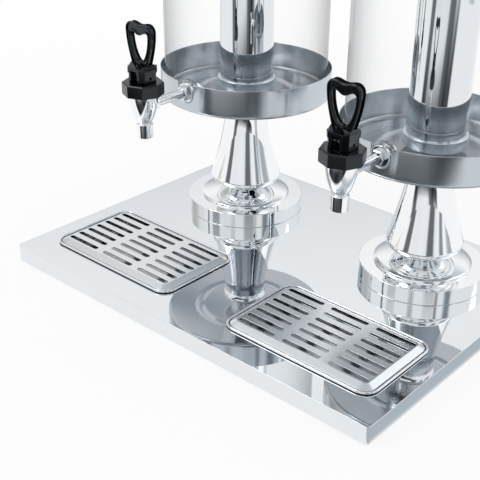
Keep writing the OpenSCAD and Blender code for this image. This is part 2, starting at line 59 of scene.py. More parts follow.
# camera
camera = {"place": (0.60317, -0.73895, 0.54756), "azimuth": 38.237, "elevation": 27.673, "roll": 2.207,
          "focalPixels": 947.0, "imagePixels": 480, "centreColumn": 300, "centreRow": 240}


# the camera's axes: back from azimuth and elevation, then right and up turned by the roll
def makeCamera(c):
    az, el, roll = (math.radians(c[k]) for k in ("azimuth", "elevation", "roll"))
    back = Vector((math.sin(az)*math.cos(el), -math.cos(az)*math.cos(el), math.sin(el)))
    level = (-back).cross(Vector((0, 0, 1))).normalized()
    rise = level.cross(-back)
    right = math.cos(roll)*level + math.sin(roll)*rise
    up = math.cos(roll)*rise - math.sin(roll)*level
    data = bpy.data.cameras.new("photoCamera")
    data.lens = c["focalPixels"]*data.sensor_width/c["imagePixels"]
    data.shift_x = (c["imagePixels"]/2 - c["centreColumn"])/c["imagePixels"]
    data.shift_y = (c["centreRow"] - c["imagePixels"]/2)/c["imagePixels"]
    data.clip_start, data.clip_end = 0.01, 100
    eye = bpy.data.objects.new("photoCamera", data)
    scene.collection.objects.link(eye)
    turn = Matrix((right, up, back)).transposed().to_4x4()
    eye.matrix_world = Matrix.Translation(c["place"]) @ turn
    scene.camera = eye


makeCamera(camera)
print("camera placed")


# a shader socket that can stand in a sum: each operator adds the Math node for it
class Wire:
    def __init__(self, tree, socket):
        self.tree, self.socket = tree, socket

    # adds any node: its settings first, then the values or links of its sockets
    def node(self, kind, settings=None, sockets=None, out=0):
        made = self.tree.nodes.new("ShaderNode" + kind)
        for key, value in (settings or {}).items():
            setattr(made, key, value)
        for key, value in (sockets or {}).items():
            if isinstance(value, Wire):
                self.tree.links.new(value.socket, made.inputs[key])
            else:
                made.inputs[key].default_value = value
        return Wire(self.tree, made.outputs[out])

    def maths(self, operation, *values):
        return self.node("Math", {"operation": operation}, dict(enumerate(values)))

    def __add__(self, other): return self.maths("ADD", self, other)
    def __radd__(self, other): return self.maths("ADD", other, self)
    def __sub__(self, other): return self.maths("SUBTRACT", self, other)
    def __rsub__(self, other): return self.maths("SUBTRACT", other, self)
    def __mul__(self, other): return self.maths("MULTIPLY", self, other)
    def __rmul__(self, other): return self.maths("MULTIPLY", other, self)
    def __pow__(self, other): return self.maths("POWER", self, other)
    def __abs__(self): return self.maths("ABSOLUTE", self)

    # 0 below low, 1 above high, with a soft step between
    def step(self, low, high):
        return self.node("MapRange", {"interpolation_type": "SMOOTHSTEP"},
                         {"Value": self, "From Min": low, "From Max": high})

    def blend(self, first, second):
        return self.node("Mix", {"data_type": "RGBA"}, {0: self, 6: first, 7: second}, out=2)

    def parts(self):
        split = self.node("SeparateXYZ", None, {0: self}).socket.node
        return [Wire(self.tree, s) for s in split.outputs]

    def vector(self, x, y, z):
        return self.node("CombineXYZ", None, {0: x, 1: y, 2: z})

    def noise(self, where, scale, detail=2.0, rough=0.5):
        sockets = {"Vector": where, "Scale": scale, "Detail": detail, "Roughness": rough}
        return self.node("TexNoise", None, sockets)


def rgb(r, g, b):
    return (r, g, b, 1.0)


# between two shades, given as red, green and blue, by a share from 0 to 1
def between(share, pair, dim=1.0):
    return share.blend(*(rgb(*(dim*c for c in shade)) for shade in pair))


# a new material, its shader node, and its object coordinates as a Wire
def newFinish(name, **constants):
    made = bpy.data.materials.new(name)
    made.use_nodes = True
    tree = made.node_tree
    shader = tree.nodes["Principled BSDF"]
    for key, value in constants.items():
        shader.inputs[key.replace("_", " ")].default_value = value
    start = Wire(tree, tree.nodes.new("ShaderNodeTexCoord").outputs["Object"])
    return made, shader, start


# links wires to the shader's sockets
def feed(shader, **wires):
    for key, wire in wires.items():
        wire.tree.links.new(wire.socket, shader.inputs[key.replace("_", " ")])


# room
room = {"level": 0.82, "floorRadius": 1.6, "floorWhite": ((0.94, 0.94, 0.94), (0.93, 0.93, 0.93)),
        # the share of the object's shadow that the floor keeps, and where it ends
        "shadowShare": 0.15, "shadowFrom": 0.6, "shadowTo": 1.44,
        # what only reflections see: the dark side of the studio starts just in front of the plate,
        # between two azimuths and up to a height in degrees, and turns pale further out
        "darkEdge": (0.218, 0.258), "darkFrom": -31, "darkTo": 71, "darkTop": 29,
        "darkTopSoft": 9, "darkSideSoft": 3,
        "near": ((0.020, 0.022, 0.026), (0.080, 0.085, 0.092)), "nearScale": 0.052, "nearBands": (0.36, 0.68),
        "farFrom": 0.35, "farTo": 1.0,
        "farPale": (0.76, 0.785, 0.805), "farDark": (0.15, 0.16, 0.175), "farScale": 0.07,
        # its uprights: middle, half width and soft edge in degrees
        "uprights": [(-20, 8, 3), (49, 10, 4)],
        # a painted shadow of the plate on the table: a grey strip at the plate's right and back edges, and
        # the height in degrees where the ceiling greys
        "plateHalf": (0.25, 0.184), "tableEdge": 0.006, "tableFade": (0.04, 0.16),
        "paintedShadowGrey": (0.50, 0.55, 0.59),
        "ceiling": (0.56, 0.60, 0.64), "ceilingFrom": 30, "ceilingTo": 78,
        # azimuth and half width, low and high edge, soft edge, all in degrees, then the shade
        "panels": [(-58, 8, -14, 24, 7, (0.66, 0.64, 0.60)),
                   (112, 12, -14, 22, 6, (0.42, 0.45, 0.49)),
                   (17, 4.5, 20, 46, 3, (0.42, 0.40, 0.37)),
                   (62, 2.4, 16, 50, 2, (0.10, 0.10, 0.12)),
                   (82, 6, -10, 50, 4, (0.26, 0.29, 0.33)),
                   (-38, 1.8, 14, 50, 1.5, (0.18, 0.18, 0.20)),
                   (205, 34, -12, 20, 12, (0.42, 0.45, 0.49)),
                   (-85, 15, 6, 44, 10, (0.60, 0.58, 0.55)),
                   (172, 30, 38, 62, 8, (0.58, 0.62, 0.66))]}


# a share, 1 inside the given span of degrees and 0 outside
def span(angle, low, high, soft):
    return angle.step(low - soft, low + soft)*(1 - angle.step(high - soft, high + soft))


# the near dark side: broad bands from noise along the azimuth
def nearSide(azimuth, r):
    bands = azimuth.noise(azimuth.vector(azimuth*r["nearScale"], 1.3, 0.0), 1.0)
    return between(bands.step(*r["nearBands"]), r["near"])


# the far side: pale grey with a few dark uprights
def farSide(azimuth, r):
    bands = azimuth.noise(azimuth.vector(azimuth*r["farScale"], 4.1, 0.0), 1.0)
    seen = bands.blend(rgb(*r["farPale"]), white)
    for centre, half, soft in r["uprights"]:
        seen = span(azimuth, centre - half, centre + half, soft).blend(seen, rgb(*r["farDark"]))
    return seen


# the Light Path's camera, glossy and transmission rays
def rays(tree):
    path = tree.nodes.new("ShaderNodeLightPath").outputs
    return (Wire(tree, path[k]) for k in ("Is Camera Ray", "Is Glossy Ray", "Is Transmission Ray"))


# degrees round Z from -Y towards +X
def compass(x, y):
    return x.maths("ARCTAN2", x, 0 - y)*(180/math.pi)


# white all round; what polished steel mirrors also has a dark side and a few upright panels, as a studio has
def makeWorld(r):
    world = bpy.data.worlds.new("studio")
    scene.world = world
    world.use_nodes = True
    world.cycles.sampling_method = "NONE"  # so that even dull steel sees the dark side
    tree = world.node_tree
    ray, glossy, clear = rays(tree)
    x, y, z = Wire(tree, tree.nodes.new("ShaderNodeTexCoord").outputs["Generated"]).parts()
    azimuth = compass(x, y)
    height = x.maths("ARCSINE", z)*(180/math.pi)
    unbroken = azimuth + 360*(1 - azimuth.step(-110.1, -110))  # from -110 to 250: no seam at the back
    seen = height.step(r["ceilingFrom"], r["ceilingTo"]).blend(white, rgb(*r["ceiling"]))
    for centre, half, low, high, soft, shade in r["panels"]:
        panel = span(unbroken, centre - half, centre + half, soft)*span(height, low, high, soft)
        seen = panel.blend(seen, rgb(*shade))
    top, soft = r["darkTop"], r["darkTopSoft"]
    dark = span(azimuth, r["darkFrom"], r["darkTo"], r["darkSideSoft"])
    dark = dark*(1 - height.step(top - soft, top + soft))
    seen = dark.blend(seen, farSide(azimuth, r))
    shown = glossy.blend(white, seen)
    strength = r["level"] + (1 - r["level"])*x.maths("MAXIMUM", ray, x.maths("MAXIMUM", glossy, clear))
    back = tree.nodes["Background"]
    tree.links.new(shown.socket, back.inputs["Color"])
    tree.links.new(strength.socket, back.inputs["Strength"])


# a disc that looks white to the camera and in reflections, and keeps a share of the object's shadow
def makeFloor(r):
    made, shader, where = newFinish("floorWhite", Roughness=0.9, Specular_IOR_Level=0)
    tree = made.node_tree
    ray, glossy, clear = rays(tree)
    feed(shader, Base_Color=between(where.noise(where, 3.0), r["floorWhite"]))
    x, y = where.parts()[:2]
    azimuth = compass(x, y)
    before = 0 - y
    dark = before.step(*r["darkEdge"])*span(azimuth, r["darkFrom"], r["darkTo"], r["darkSideSoft"])
    far = before.step(r["farFrom"], r["farTo"])
    # painted shadow: reflections see the plate's shadow as a grey strip beside its right and back edges
    beside = x.maths("MAXIMUM", x - r["plateHalf"][0], y - r["plateHalf"][1])
    paintedShadow = beside.step(0, r["tableEdge"])*(1 - beside.step(*r["tableFade"]))
    table = paintedShadow.blend(white, rgb(*r["paintedShadowGrey"]))
    mirrored = dark.blend(table, far.blend(nearSide(azimuth, r), farSide(azimuth, r)))
    plain = where.node("Emission", None, {"Color": glossy.blend(white, mirrored), "Strength": 1.0})
    away = (x*x + y*y)**0.5
    shadow = r["shadowShare"]*(1 - away.step(r["shadowFrom"], r["shadowTo"]))  # so the disc's edge can't show
    share = x.maths("MAXIMUM", (1 - shadow)*x.maths("MAXIMUM", ray, clear), glossy)
    mixed = share.node("MixShader", None, {0: share, 1: Wire(tree, shader.outputs[0]), 2: plain})
    tree.links.new(mixed.socket, tree.nodes["Material Output"].inputs["Surface"])
    mesh = bpy.data.meshes.new("floor")
    turn = np.linspace(0, 2*np.pi, 97)[:-1]
    ring = np.stack([r["floorRadius"]*np.cos(turn), r["floorRadius"]*np.sin(turn), 0*turn], 1)
    mesh.from_pydata(ring.tolist(), [], [list(range(len(ring)))])
    mesh.materials.append(made)
    floor = bpy.data.objects.new("floor", mesh)
    scene.collection.objects.link(floor)


# two broad soft lamps: place, size, power
lamps = {"key": ((-0.9, -1.1, 1.7), 1.0, 8), "back": ((1.0, 1.3, 1.5), 1.2, 2)}


def makeLamps():
    for name, (place, size, power) in lamps.items():
        data = bpy.data.lights.new(name, "AREA")
        data.shape, data.size, data.energy = "DISK", size, power
        lamp = bpy.data.objects.new(name, data)
        scene.collection.objects.link(lamp)
        aim = Vector((0, 0, 0.2)) - Vector(place)
        lamp.matrix_world = Matrix.Translation(place) @ aim.to_track_quat("-Z", "Y").to_matrix().to_4x4()


makeWorld(room)
makeFloor(room)
makeLamps()
print("room lit")

# finishes

# each finish's two shades, as red, green and blue
shades = {"mirror": ((0.76, 0.79, 0.815), (0.81, 0.835, 0.855)),
          "chrome": ((0.87, 0.89, 0.905), (0.92, 0.93, 0.94)),
          # fitting: a darker copy of the chrome, painted shade on the shank, washer and nut
          "fitting": ((0.60, 0.625, 0.65), (0.78, 0.80, 0.82)),
          # panInside is painted light, paler than the outside; panUnder is painted shade under the pans
          "panOutside": ((0.49, 0.535, 0.575), (0.61, 0.65, 0.685)),
          "panInside": ((0.80, 0.865, 0.91), (0.88, 0.935, 0.97)),
          "panUnder": ((0.48, 0.50, 0.525), (0.60, 0.62, 0.64)),
          "grille": ((0.74, 0.765, 0.785), (0.81, 0.83, 0.845)),
          "trayRim": ((0.74, 0.76, 0.78), (0.84, 0.86, 0.88)),
          # trayWell and traySeam are painted shade: the well's darker grey and the seam's near black
          "trayWell": ((0.34, 0.355, 0.37), (0.54, 0.56, 0.58)), "traySeam": (0.02, 0.02, 0.022),
          "black": ((0.0015, 0.0018, 0.0024), (0.004, 0.0045, 0.0055)),
          # clearEdge is painted shade at the clear sheet's grazing edges
          "clearFace": ((0.66, 0.71, 0.75), (0.76, 0.80, 0.83)), "clearEdge": (0.16, 0.185, 0.21),
          "boss": ((0.93, 0.96, 0.975), (0.98, 0.99, 0.995)),
          "silicone": ((0.64, 0.64, 0.616), (0.80, 0.80, 0.77)),
          "blackRubber": ((0.028, 0.028, 0.0288), (0.035, 0.035, 0.036))}

# where a finish changes, in mm: the pans' inner radius and underside, then the trays' heights above the plate
change = {"panInside": (101.5, 102.1), "panUnder": (172.5, 176.5), "traySeam": (0.8, 1.5),
          "trayWell": (-2, -0.5)}

# each finish's grain: noises as scale and detail, or as scales along three lengths; roughness as a base and
# shares of noise; the bump's height in mm and strength
grain = {"mirror": {"streak": (6, 700, 700), "cloud": (9, 3), "wave": (14, 1), "rough": (0.015, 0.025),
                    "bump": (0.6, 0.06), "edge": 1.2},
         "chrome": {"streak": (3, 400, 900), "cloud": (30, 2), "wave": (55, 1.5), "rough": (0.02, 0.03),
                    "bump": (0.4, 0.2)},
         "turned": {"lines": (4, 2600, 2600), "broad": (2, 160, 160), "cloud": (16, 2),
                    "mottle": (0.2, 0.3, 0.5), "rough": (0.13, 0.05, 0.05), "bump": (0.04, 0.1)},
         "brushed": {"lines": (30, 2400, 2400), "cloud": (24, 3), "rough": (0.17, 0.04, 0.05),
                     "bump": (0.05, 0.05)},
         "shadedTray": {"lines": (30, 2400, 2400), "drops": (90, 3), "stains": (0.25, 0.75),
                 "rough": (0.10, 0.06, 0.05), "bump": (0.05, 0.12)},
         "black": {"cloud": (60, 3), "fine": (700, 2), "rough": (0.04, 0.06), "bump": (0.05, 0.15)},
         "clear": {"cloud": (12, 2), "veil": (0.01, 0.012, 0.7), "power": 2.2, "edge": (0.1, 0.6)},
         "boss": {"cloud": (40, 2), "rough": 0.02},
         "rubber": {"fine": (500, 3), "rough": (0.45, 0.2), "bump": (0.1, 0.3)}}


# a step at one of the places in change
def changed(length, name):
    low, high = change[name]
    return length.step(low*mm, high*mm)


# noise with a scale of its own along each of three lengths
def drawn(where, lengths, scales, detail=2.0, rough=0.5):
    return where.noise(where.vector(*(a*b for a, b in zip(lengths, scales))), 1.0, detail, rough)


# a bump from noise, of the given height and strength, that leaves the shape alone
def bumped(where, noise, bump, **more):
    return where.node("Bump", None, {"Strength": bump[1], "Distance": bump[0]*mm, "Height": noise, **more})


# distance from the nearer tower's axis, and the turn round it, from object coordinates
def roundTower(where):
    x, y, z = where.parts()
    across, along = abs(x) - towerX, y - towerY
    far = (across*across + along*along)**0.5
    return far, across.maths("ARCTAN2", along, across), z


def mirrorSteel(g):
    made, shader, where = newFinish("mirrorSteel", Metallic=1.0)
    streak, cloud = drawn(where, where.parts(), g["streak"], 3.0), where.noise(where, *g["cloud"])
    base, more = g["rough"]
    soft = where.node("Bevel", {"samples": 4}, {"Radius": g["edge"]*mm})
    feed(shader, Base_Color=between(cloud, shades["mirror"]), Roughness=base + more*streak*cloud,
         Normal=bumped(where, where.noise(where, *g["wave"]), g["bump"], Normal=soft))
    return made


def chromePlate(g, name, pair):
    made, shader, where = newFinish(name, Metallic=1.0)
    far, turn, z = roundTower(where)
    streak, cloud = drawn(where, (turn, far, z), g["streak"], 3.0), where.noise(where, *g["cloud"])
    base, more = g["rough"]
    feed(shader, Base_Color=between(cloud, pair), Roughness=base + more*streak*cloud,
         Normal=bumped(where, where.noise(where, *g["wave"]), g["bump"]))
    return made


# steel turned on a lathe: fine lines run round the tower's axis, so its reflections are drawn out along Z;
# the pans are painted lighter inside, as painted light, and darker underneath, as painted shade; dim gives a
# darker copy, as painted shade
def turnedSteel(g, name, dim=1.0):
    made, shader, where = newFinish(name, Metallic=1.0, Anisotropic=0.8, Anisotropic_Rotation=0.25)
    far, turn, z = roundTower(where)
    lines = drawn(where, (turn, far, z), g["lines"], 2.0, 0.6)
    broad, cloud = drawn(where, (turn, far, z), g["broad"]), where.noise(where, *g["cloud"])
    a, b, c = g["mottle"]
    mottle = a*lines + b*broad + c*cloud
    # painted light inside the pans and painted shade underneath them
    inside, outside = (between(mottle, shades[k], dim) for k in ("panInside", "panOutside"))
    wall = changed(far, "panInside").blend(inside, outside)
    shade = changed(z, "panUnder").blend(between(mottle, shades["panUnder"]), wall)
    base, onLines, onCloud = g["rough"]
    feed(shader, Base_Color=shade, Roughness=base + onLines*lines + onCloud*cloud,
         Normal=bumped(where, lines, g["bump"]))
    return made


# rolled sheet: fine lines run along X
def brushedSteel(g):
    made, shader, where = newFinish("brushedSteel", Metallic=1.0)
    lines = drawn(where, where.parts(), g["lines"], 2.0, 0.6)
    cloud = where.noise(where, *g["cloud"])
    base, onLines, onCloud = g["rough"]
    shade = between(0.5*lines + 0.5*cloud, shades["grille"])
    feed(shader, Base_Color=shade, Roughness=base + onLines*lines + onCloud*cloud,
         Normal=bumped(where, lines, g["bump"]))
    return made


# the drip pans' sheet: painted shade darkens it down in the well, where the drops noise mottles it like
# stains, and a near-black painted line of shade runs in the seam where the rim rests on the plate
def shadedTraySteel(g):
    made, shader, where = newFinish("shadedTraySteel", Metallic=1.0)
    x, y, z = where.parts()
    height = z - plateTop
    lines, drops = drawn(where, (x, y, z), g["lines"], 2.0, 0.6), where.noise(where, *g["drops"])
    # painted shade in the well, mottled like stains
    wellShadeAndStains = between(drops.step(*g["stains"]), shades["trayWell"])
    # painted shade: a near-black line in the seam under the rim
    low = changed(height, "trayWell").blend(wellShadeAndStains, rgb(*shades["traySeam"]))
    rim = changed(height, "traySeam")
    shade = rim.blend(low, between(lines, shades["trayRim"]))
    base, onLines, onDrops = g["rough"]
    feed(shader, Base_Color=shade, Roughness=base + onLines*lines + onDrops*(1 - rim)*drops,
         Normal=bumped(where, lines, g["bump"]))
    return made


def blackPlastic(g):
    made, shader, where = newFinish("blackPlastic", IOR=1.5, Specular_Tint=rgb(0.80, 0.92, 1.0))
    cloud, fine = where.noise(where, *g["cloud"]), where.noise(where, *g["fine"])
    base, more = g["rough"]
    feed(shader, Base_Color=between(cloud, shades["black"]), Roughness=base + more*cloud*fine,
         Normal=bumped(where, fine, g["bump"]))
    return made


# thin clear sheet: nearly nothing seen face on, a veil where the look grazes it, whose dark grey colour there
# is painted shade
def clearPlastic(g):
    made, shader, where = newFinish("clearPlastic", IOR=1.5, Roughness=0.02)
    cloud = where.noise(where, *g["cloud"])
    facing = where.node("LayerWeight", None, {"Blend": 0.5}, out=1)
    base, onCloud, onEdge = g["veil"]
    # painted shade: the colour turns dark grey where the look grazes the sheet
    shade = facing.step(*g["edge"]).blend(between(cloud, shades["clearFace"]), rgb(*shades["clearEdge"]))
    feed(shader, Base_Color=shade, Alpha=base + onCloud*cloud + onEdge*facing**g["power"])
    return made


def thickClear(g):
    made, shader, where = newFinish("thickClear", Transmission_Weight=1.0, IOR=1.45)
    cloud = where.noise(where, *g["cloud"])
    feed(shader, Base_Color=between(cloud, shades["boss"]), Roughness=g["rough"]*cloud)
    return made


def softRubber(g, name):
    made, shader, where = newFinish(name, IOR=1.45)
    fine = where.noise(where, *g["fine"])
    base, more = g["rough"]
    feed(shader, Base_Color=between(fine, shades[name]), Roughness=base + more*fine,
         Normal=bumped(where, fine, g["bump"]))
    return made


finishes = {"mirror_steel": mirrorSteel(grain["mirror"]), "satin_steel": brushedSteel(grain["brushed"]),
            "shadedTray": shadedTraySteel(grain["shadedTray"]),
            "chrome": chromePlate(grain["chrome"], "chromePlate", shades["chrome"]),
            # painted shade: the darker chrome of the shank, washer and nut
            "fitting": chromePlate(grain["chrome"], "fittingChrome", shades["fitting"]),
            "turned": turnedSteel(grain["turned"], "turnedSteel"),
            # the seat: a copy of the turned steel dimmed by 0.85 as painted shade
            "seat": turnedSteel(grain["turned"], "seatSteel", 0.85),
            "black_plastic": blackPlastic(grain["black"]), "clear_plastic": clearPlastic(grain["clear"]),
            "thick_clear": thickClear(grain["boss"]), "silicone": softRubber(grain["rubber"], "silicone"),
            "black_rubber": softRubber(grain["rubber"], "blackRubber")}
print("finishes made:", len(finishes))

slotOf = {s["node"]: s["material_slot"] for s in frame["record"]["subparts"]}
for name, node in frame["nodes"].items():
    node.data.materials.clear()
    node.data.materials.append(finishes["fitting" if name.endswith("tap_shank") else slotOf[name]])


# meshes

# rounds each corner of an outline that has a radius: an arc between its tangent points, neither of which
# goes past the middle of its edge; an open outline's two ends have the radius 0
def rounded(points, radii, steps=6):
    p = np.array(points, float)
    n = len(p)
    out = []
    for i in range(n):
        if not radii[i]:
            out.append(p[i][None])
            continue
        a, b = p[i - 1] - p[i], p[(i + 1) % n] - p[i]
        la, lb = np.linalg.norm(a), np.linalg.norm(b)
        a, b = a/la, b/lb
        half = math.acos(float(a @ b))/2
        reach = min(radii[i]/math.tan(half), 0.49*la, 0.49*lb)
        r = reach*math.tan(half)
        middle = p[i] + (a + b)/np.linalg.norm(a + b)*r/math.sin(half)
        start, end = p[i] + a*reach - middle, p[i] + b*reach - middle
        sweep = math.pi - 2*half
        share = np.linspace(0, 1, steps + 1)[:, None]
        out.append(middle + (np.sin((1 - share)*sweep)*start + np.sin(share*sweep)*end)/math.sin(sweep))
    return np.concatenate(out)


# the section of a plain ring or sleeve
def hoop(inner, outer, low, high, radii):
    return rounded([(inner, low), (outer, low), (outer, high), (inner, high)], radii)


# quads of a grid of points, rows by columns, numbered row by row; each row closes on itself
def gridFaces(rows, columns, closeRows=False):
    r = np.arange(rows if closeRows else rows - 1)[:, None]
    c = np.arange(columns)[None]
    r2, c2 = (r + 1) % rows, (c + 1) % columns
    return np.stack([r*columns + c, r*columns + c2, r2*columns + c2, r2*columns + c], -1).reshape(-1, 4)


# points or rows of points, each from its two numbers
def pairs(first, second):
    return np.stack(np.broadcast_arrays(first, second), -1)


# a piece of the object from points in metres: doubles merged, faces turned outwards, even normals
def addPiece(name, points, faces, finish, body, slot, nodes=(), sharp=32):
    mesh = bpy.data.meshes.new(name)
    mesh.from_pydata(np.asarray(points, float).reshape(-1, 3).tolist(), [],
                     [list(map(int, f)) for f in faces])
    work = bmesh.new()
    work.from_mesh(mesh)
    bmesh.ops.remove_doubles(work, verts=work.verts, dist=1e-7)
    bmesh.ops.recalc_face_normals(work, faces=work.faces)
    work.to_mesh(mesh)
    work.free()
    mesh.polygons.foreach_set("use_smooth", np.ones(len(mesh.polygons), bool))
    mesh.set_sharp_from_angle(angle=math.radians(sharp))
    mesh.materials.append(finishes[finish])
    piece = bpy.data.objects.new(name, mesh)
    scene.collection.objects.link(piece)
    even = piece.modifiers.new("evenNormals", "WEIGHTED_NORMAL")
    even.keep_sharp = True
    if nodes:
        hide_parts(*nodes)
    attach(piece, body)
    return piece


# an outline of (radius, height) in mm carried round an axis: point = place + (r cos t, r sin t, h)
def turned(outline, place, steps, axis="z", plan=None, closed=True):
    outline = np.asarray(outline, float)
    t = np.arange(steps)*2*np.pi/steps
    r, h = outline[:, 0][:, None], outline[:, 1][:, None] + 0*t
    if plan is not None:
        r = plan(r, t[None])
    x, y = r*np.cos(t), r*np.sin(t)
    points = np.stack([x, y, h] if axis == "z" else [x, h, y], -1).reshape(-1, 3)*mm + np.array(place)
    return points, gridFaces(len(outline), steps, closed)


# several meshes as one
def joined(*pieces):
    points, faces, start = [], [], 0
    for p, f in pieces:
        points.append(np.asarray(p, float).reshape(-1, 3))
        faces += [[start + int(i) for i in face] for face in f]
        start += len(points[-1])
    return np.concatenate(points), faces


# a tower's axis, at a height in mm above the plate
def towerPlace(k, lift=0.0):
    return np.array([k*towerX, towerY, plateTop + lift*mm])


# pedestals

# sizes in mm, heights from the plate's top
tower = {"ringRadius": 71.5, "ringHeight": 17.5, "ringEdges": (0.3, 0.9, 0.9, 0.3), "bellRadius": 55,
         "bellEdge": 1.5, "bellHeight": 11.5, "bellFoot": 0.3, "neckRadius": 19, "lipRadius": 43,
         "lipHeight": 13.5, "trumpetHeight": 81, "trumpetRadius": 26, "wall": 2, "collarHeight": 15,
         "collarSwell": 3, "spigotRadius": 18, "spigotHeight": 10, "bore": 6.5}


def makeTower(side, k, t):
    place = towerPlace(k)
    neck, bore, wall, high, foot = (t[n] for n in ("neckRadius", "bore", "wall", "ringHeight", "bellFoot"))
    ring = hoop(bore, t["ringRadius"], 0, high, t["ringEdges"])
    addPiece(side + "RingSkin", *turned(ring, place, 192), "chrome", "stand", "chrome", [side + "_foot_ring"])
    # the bell falls from the neck to its edge as half a cosine wave
    u, bellR, bellZ = np.linspace(0, 1, 41), t["bellRadius"], high + t["bellEdge"]
    fall = pairs(neck + (bellR - neck)*(1 + np.cos(np.pi*u))/2, bellZ + t["bellHeight"]*u)
    edge = [(bellR - foot, high), (bellR, high + foot)]
    bell = np.concatenate([edge, fall[1:], fall[::-1] - [wall, 0], [(bellR - wall, high)]])
    addPiece(side + "BellSkin", *turned(bell, place, 160), "chrome", "stand", "chrome", [side + "_bell"])
    # the lip's round underside is a quarter of an ellipse, and the trumpet narrows with the power 1.5 of
    # the height that is left
    a, lip, horn = np.linspace(0, np.pi/2, 25), t["lipRadius"], t["trumpetRadius"]
    neckZ = bellZ + t["bellHeight"]
    lipZ = neckZ + t["lipHeight"]
    under = pairs(neck + (lip - neck)*np.sin(a), neckZ + t["lipHeight"]*(1 - np.cos(a)))
    v = np.linspace(0, 1, 65)[1:]
    trumpet = pairs(horn + (lip - horn)*(1 - v)**1.5, lipZ + t["trumpetHeight"]*v)
    outside = np.concatenate([under, trumpet])
    pedestal = np.concatenate([outside, outside[::-1] - [wall, 0]])
    addPiece(side + "PedestalSkin", *turned(pedestal, place, 160), "chrome", "stand", "chrome",
             [side + "_pedestal"])
    # the collar swells with the sine of its height and draws in sharply at its top
    w, spigot, hornZ = np.linspace(0, 1, 33), t["spigotRadius"], lipZ + t["trumpetHeight"]
    swell = horn + t["collarSwell"]*np.sin(np.pi*w) - (horn - spigot)*w**6
    top = hornZ + t["collarHeight"] + t["spigotHeight"]
    collar = np.concatenate([[(bore, hornZ)], pairs(swell, hornZ + t["collarHeight"]*w),
                             [(spigot, top), (bore, top)]])
    addPiece(side + "CollarSkin", *turned(collar, place, 128), "chrome", "stand", "chrome",
             [side + "_collar"])


for side, k in sides.items():
    makeTower(side, k, tower)
print("pedestals made")

# pans and tanks

# sizes in mm: the floor's height is from the plate's top, the others from the pan's underside
pan = {"radius": 102.5, "height": 34, "wall": 1.2, "bend": 4, "floor": 150, "ribRadius": 60,
       "ribWidth": 13, "ribHeight": 1.8, "ribRun": 2, "notchRadius": 12.2, "notchHeight": 23,
       "notchGap": 0.0006, "steps": 360}


# the section of floor, bend and wall carried round the axis; at the front the wall's top edge drops
# into the notch as a half circle
def makePan(side, k, p):
    r, wall, bend, notch = p["radius"], p["wall"], p["bend"], p["notchRadius"]
    start, end = p["ribRadius"] - p["ribWidth"]/2, p["ribRadius"] + p["ribWidth"]/2
    u, a = np.linspace(0, 1, 15), np.linspace(0, np.pi/2, 9)
    rib = pairs(start + (end - start)*u, p["ribHeight"]*np.sin(np.pi*u)**0.8)
    floor = np.concatenate([[(0, 0), (start - p["ribRun"], 0)], rib, [(end + p["ribRun"], 0)]])
    outer = np.concatenate([floor, pairs(r - bend*(1 - np.sin(a)), bend*(1 - np.cos(a)))])
    inner = np.concatenate([floor + [0, wall],
                            pairs(r - bend + (bend - wall)*np.sin(a), bend - (bend - wall)*np.cos(a))])
    # turns: close ones across the notch, then even ones round the rest
    edge = math.asin(notch/r)
    sag = np.sin(np.linspace(-np.pi/2, np.pi/2, 33))*edge
    rest = np.linspace(edge + p["notchGap"], 2*np.pi - edge - p["notchGap"], p["steps"])
    turn = np.concatenate([sag, rest])
    across = np.clip(r*np.sin(sag), -notch, notch)
    dip = p["notchHeight"] - np.sqrt(notch**2 - across**2)
    half, level = wall/2, 0*turn
    top = np.concatenate([dip, np.full(len(rest), float(p["height"]))]) - half
    rise, lip = np.linspace(0, 1, 8)[1:], np.linspace(0, np.pi, 7)[1:]
    rows = [pairs(x, h + level) for x, h in outer]
    rows += [pairs(r, bend + (top - bend)*s) for s in rise]
    rows += [pairs(r - half + half*math.cos(c), top + half*math.sin(c)) for c in lip]
    rows += [pairs(r - wall, bend + (top - bend)*s) for s in rise[::-1][1:]]
    rows = np.stack(rows + [pairs(x, h + level) for x, h in inner[::-1]])
    x, y = rows[..., 0]*np.sin(turn), -rows[..., 0]*np.cos(turn)
    points = np.stack([x, y, rows[..., 1]], -1)*mm + towerPlace(k, p["floor"])
    addPiece(side + "PanSkin", points, gridFaces(len(rows), len(turn)), "turned", "stand",
             "satin_steel", [side + "_pan"])


# heights from the plate's top
tank = {"wallRadius": 97, "wallThick": 3, "floorTop": 158.2, "top": 471.2, "footZ": 151.2, "footWidth": 6,
        "footSlope": 2, "edge": 1.2, "rimDown": 5, "shankZ": 173, "bossRadius": 14, "bossBore": 5.32,
        "bossOut": 1.5, "bossIn": 3.5, "bossEdges": (0.1, 1, 1, 0.1), "tubeRadius": 32, "tubeWall": 1,
        "tubeDown": 20, "tubeEdge": 0.45, "seatWidth": 3, "seatHeight": 12, "seatEdges": (0, 0.4, 1, 0.2)}


